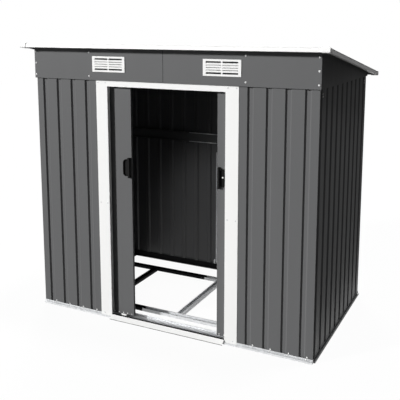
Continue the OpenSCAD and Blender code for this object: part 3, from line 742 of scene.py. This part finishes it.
class SHED_OT_strip_foot(bpy.types.Operator):
    """Set a small bracket with one round corner at the foot of the rear wall's strip"""

    bl_idname = "shed.strip_foot"
    bl_label = "Strip foot"

    def execute(self, context):
        edges = context.scene.shed_edges
        low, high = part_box("rear_wall_strip")
        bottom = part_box("rear_base_rail")[1].z
        top = bottom + edges.foot_height
        left = low.x - edges.foot_width
        turn = np.linspace(0.0, np.pi / 2, ROUND_CORNERS)
        across = [left, *(left + edges.foot_round * (1.0 - np.cos(turn))), low.x, low.x]
        heights = [bottom, *(top - edges.foot_round * (1.0 - np.sin(turn))), top, bottom]
        foot = carried((across, heights), 1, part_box("rear_wall_left")[0].y, high.y)
        make_piece("strip_foot", *foot, "zinc", "shed")
        return {"FINISHED"}


class SHED_OT_mid_rail_glint_hems(bpy.types.Operator):
    """Roll bare zinc hems along the upper and lower edge of the rear middle rail, only where its edges
    glint: partly real hems, partly a painted glint in their light zinc
    """

    bl_idname = "shed.mid_rail_hems"
    bl_label = "Middle rail hems"

    def execute(self, context):
        edges = context.scene.shed_edges
        low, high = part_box("mid_rails")
        face = high.y - edges.glint_hem_back
        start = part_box("rear_wall_strip")[0].x - edges.glint_hem_reach
        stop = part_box("rear_wall_left")[1].x
        half = edges.glint_hem_height / 2
        out, rise = bead(half, edges.glint_hem_proud)
        hems = [carried((face - out, middle + rise), 0, start, stop)
                for middle in (low.z + half, high.z - half)]
        # Painted glint: these light zinc hems stand in for the glints along the rail's edges
        make_piece("mid_rail_hems", *joined(hems), "zinc", "shed")
        return {"FINISHED"}


class SHED_OT_handle_screw(bpy.types.Operator):
    """Put one white screw in the right door's handle"""

    bl_idname = "shed.handle_screw"
    bl_label = "Handle screw"

    def execute(self, context):
        screws = context.scene.shed_screws
        low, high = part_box("right_door_handle")
        middle = (low.z + high.z) / 2
        place = (high.x - screws.grip_back, high.y - screws.grip_plate, middle + screws.grip_rise)
        points, faces = copies(screw_shape(screws, screws.grip_scale), [place], FRONT)
        make_piece("handle_screw", points, faces, "white_plastic", "right_door", smooth=True)
        return {"FINISHED"}


# Lamps, surroundings and camera

def place_lamp(name, lamp, turn, place=(0.0, 0.0, 0.0)):
    """Set a lamp in the scene at a place, with a turn as Euler angles."""
    holder = bpy.data.objects.new(name, lamp)
    holder.location = place
    holder.rotation_euler = turn
    bpy.context.scene.collection.objects.link(holder)


def add_lamp(name, azimuth, elevation, strength, softness):
    """A far lamp, with its azimuth from the front to the right, and its width in the sky as softness."""
    lamp = bpy.data.lights.new(name, "SUN")
    lamp.energy = strength
    lamp.angle = softness
    place_lamp(name, lamp, (math.pi / 2 - elevation, 0.0, azimuth))


def add_room_lamp(name, place, target, power, cone, light):
    """A soft lamp in the room that shines in a cone from a place to a target."""
    lamp = bpy.data.lights.new(name, "SPOT")
    lamp.energy = power
    lamp.spot_size = cone
    lamp.spot_blend = light.room_blend
    lamp.shadow_soft_size = light.room_softness
    place_lamp(name, lamp, (target - place).to_track_quat("-Z", "Y").to_euler(), place)


def seen_directly(tree):
    """1 for rays from the camera, from gloss and through glass, 0 for the light that reaches the object."""
    path = tree.nodes.new("ShaderNodeLightPath")
    total = path.outputs["Is Camera Ray"]
    for name in ("Is Glossy Ray", "Is Transmission Ray"):
        more = tree.nodes.new("ShaderNodeMath")
        more.operation = "MAXIMUM"
        tree.links.new(total, more.inputs[0])
        tree.links.new(path.outputs[name], more.inputs[1])
        total = more.outputs["Value"]
    return total


def light_world(light):
    """A white backdrop for the eye, and a dim even light for the object."""
    world = bpy.data.worlds.new("backdrop")
    bpy.context.scene.world = world
    world.use_nodes = True
    tree = world.node_tree
    background = tree.nodes["Background"]
    background.inputs["Color"].default_value = (1.0, 1.0, 1.0, 1.0)
    tree.links.new(ranged(tree, seen_directly(tree), light.ambient, 1.0), background.inputs["Strength"])


def floor_material(light):
    """A pale floor: the eye sees mostly white and a little of the shadow, the object sees a dull grey."""
    grey = (light.floor_grey,) * 3
    material, tree, shader, _ = start_material("floor", grey, roughness=1.0, specular=0.0)
    glow = tree.nodes.new("ShaderNodeEmission")
    shadow = tree.nodes.new("ShaderNodeBsdfDiffuse")
    seen = tree.nodes.new("ShaderNodeMixShader")
    choose = tree.nodes.new("ShaderNodeMixShader")
    seen.inputs["Fac"].default_value = light.floor_white
    tree.links.new(shadow.outputs["BSDF"], seen.inputs[1])
    tree.links.new(glow.outputs["Emission"], seen.inputs[2])
    tree.links.new(seen_directly(tree), choose.inputs["Fac"])
    tree.links.new(shader.outputs["BSDF"], choose.inputs[1])
    tree.links.new(seen.outputs["Shader"], choose.inputs[2])
    tree.links.new(choose.outputs["Shader"], tree.nodes["Material Output"].inputs["Surface"])
    return material


def card_material(light, wall_top):
    """A dim card that only gloss shows, and that is darker above the wall's top."""
    material = bpy.data.materials.new("card")
    material.use_nodes = True
    tree = material.node_tree
    coords = tree.nodes.new("ShaderNodeTexCoord")
    parts = add_node(tree, "ShaderNodeSeparateXYZ", coords.outputs["Object"])
    glow = tree.nodes.new("ShaderNodeEmission")
    level = ranged(tree, parts.outputs["Z"], light.card_grey, light.card_dark,
                   wall_top - light.card_blend, wall_top + light.card_blend)
    tree.links.new(level, glow.inputs["Strength"])
    tree.links.new(glow.outputs["Emission"], tree.nodes["Material Output"].inputs["Surface"])
    return material


def make_stage_piece(name, corners, material):
    """A flat piece of the stage with those four corners."""
    mesh = bpy.data.meshes.new(name)
    mesh.from_pydata(corners, [], [(0, 1, 2, 3)])
    mesh.materials.append(material)
    piece = bpy.data.objects.new(name, mesh)
    bpy.context.scene.collection.objects.link(piece)
    return piece


def add_floor(light):
    """The floor just under the shed."""
    size = light.floor_size
    level = -light.floor_drop
    corners = [(-size, -size, level), (size, -size, level), (size, size, level), (-size, size, level)]
    make_stage_piece("floor", corners, floor_material(light))


def add_card(light):
    """The card beside the right wall. It shows in gloss alone, and casts no shadow."""
    size = light.floor_size
    side = CAD_BOX[1].x + light.card_gap
    top = light.card_height
    corners = [(side, size, 0.0), (side, -size, 0.0), (side, -size, top), (side, size, top)]
    card = make_stage_piece("card", corners, card_material(light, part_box("right_wall")[1].z))
    card.visible_camera = False
    card.visible_diffuse = False
    card.visible_shadow = False


def add_camera(view):
    """The camera of the main view."""
    camera = bpy.data.cameras.new("camera")
    camera.lens = view.lens
    camera.shift_y = view.shift
    holder = bpy.data.objects.new("camera", camera)
    holder.location = view.place
    holder.rotation_euler = (math.pi / 2 - view.pitch, 0.0, view.yaw)
    bpy.context.scene.collection.objects.link(holder)
    bpy.context.scene.camera = holder


class SHED_OT_stage(bpy.types.Operator):
    """Set up the floor, the backdrop, the lamps and the camera"""

    bl_idname = "shed.stage"
    bl_label = "Stage"

    def execute(self, context):
        light = context.scene.shed_light
        context.scene.view_settings.view_transform = "Standard"
        light_world(light)
        add_floor(light)
        add_card(light)
        add_lamp("key_lamp", light.key_turn, light.key_rise, light.key, light.key_width)
        add_lamp("side_lamp", light.side_turn, light.side_rise, light.side, light.side_width)
        add_lamp("back_lamp", light.back_turn, light.back_rise, light.back, light.back_width)
        add_room_lamp("inside_lamp", light.inside_place, light.inside_target, light.inside,
                      light.inside_cone, light)
        add_room_lamp("frame_lamp", light.frame_place, light.frame_target, light.frame,
                      light.frame_cone, light)
        add_camera(context.scene.shed_camera)
        return {"FINISHED"}


OPERATORS = (SHED_OT_finishes, SHED_OT_fascia_screws, SHED_OT_base_screws, SHED_OT_corner_screws,
             SHED_OT_jamb_screws, SHED_OT_roof_screws, SHED_OT_door_screws, SHED_OT_fascia_joint,
             SHED_OT_ramp_foot_shadow, SHED_OT_beam_screws, SHED_OT_strip_foot, SHED_OT_mid_rail_glint_hems,
             SHED_OT_handle_screw, SHED_OT_stage)
GROUPS = {"shed_finishes": ShedFinishes, "shed_screws": ShedScrews, "shed_edges": ShedEdges,
          "shed_camera": ShedCamera, "shed_light": ShedLight}


class SHED_PT_panel(bpy.types.Panel):
    """The shed's steps and sizes in the sidebar"""

    bl_label = "Metal storage shed"
    bl_space_type = "VIEW_3D"
    bl_region_type = "UI"
    bl_category = "Shed"

    def draw(self, context):
        for operator in OPERATORS:
            self.layout.operator(operator.bl_idname)
        for name, group in GROUPS.items():
            box = self.layout.box()
            for field in group.__annotations__:
                box.prop(getattr(context.scene, name), field)


def register():
    """Make the groups, operators and panel known."""
    for kind in (*GROUPS.values(), *OPERATORS, SHED_PT_panel):
        bpy.utils.register_class(kind)
    for name, group in GROUPS.items():
        setattr(bpy.types.Scene, name, PointerProperty(type=group))


def unregister():
    """Take them away again."""
    for name in GROUPS:
        delattr(bpy.types.Scene, name)
    for kind in reversed((*GROUPS.values(), *OPERATORS, SHED_PT_panel)):
        bpy.utils.unregister_class(kind)


def main():
    """Build the shed's looks in order."""
    register()
    bpy.ops.shed.finishes()
    bpy.ops.shed.fascia_screws()
    bpy.ops.shed.base_screws()
    bpy.ops.shed.corner_screws()
    bpy.ops.shed.jamb_screws()
    bpy.ops.shed.roof_screws()
    bpy.ops.shed.door_screws()
    bpy.ops.shed.fascia_joint()
    bpy.ops.shed.ramp_edge()
    bpy.ops.shed.beam_screws()
    bpy.ops.shed.strip_foot()
    bpy.ops.shed.mid_rail_hems()
    bpy.ops.shed.handle_screw()
    bpy.ops.shed.stage()


if __name__ == "__main__":
    main()
